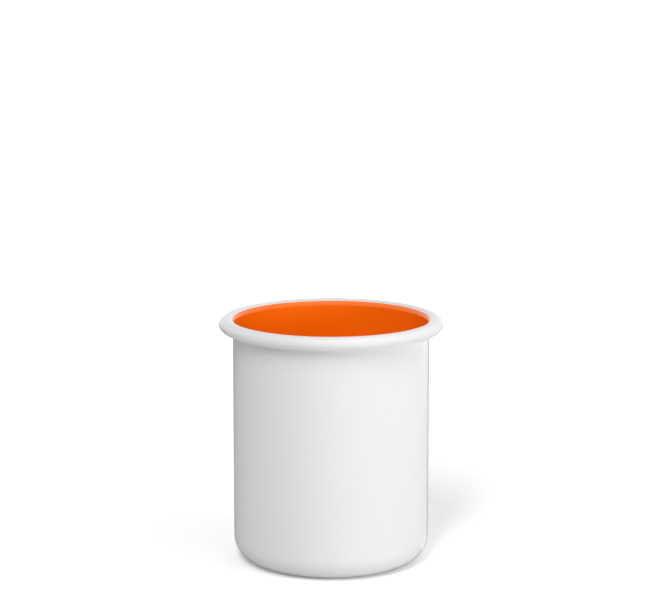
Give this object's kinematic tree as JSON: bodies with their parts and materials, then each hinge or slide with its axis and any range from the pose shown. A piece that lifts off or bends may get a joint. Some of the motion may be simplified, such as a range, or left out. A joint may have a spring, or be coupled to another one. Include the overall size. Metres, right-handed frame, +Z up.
{
  "type": "enamel utensil holder",
  "caption": "Round open-topped enamelled steel pot with a rolled rim, white outside and orange inside, for standing kitchen utensils in.",
  "frame": {"origin": "centre of the ring that the pot stands on, on the surface that it stands on", "axes": "+Z up along the pot's axis; it is round, so +X and +Y are any two square directions, with -Y towards the viewer of the picture"},
  "size_m": [0.1272, 0.1272, 0.14],
  "materials": {
    "steel": "satin",
    "ground_coat": "gloss",
    "white_enamel": "gloss",
    "orange_enamel": "gloss"
  },
  "bodies": {
    "root": {"steel_shell": "steel", "ground_coat_outside": "ground_coat", "ground_coat_inside": "ground_coat", "white_enamel_outside": "white_enamel", "orange_enamel_inside": "orange_enamel"}
  },
  "joints": []
}
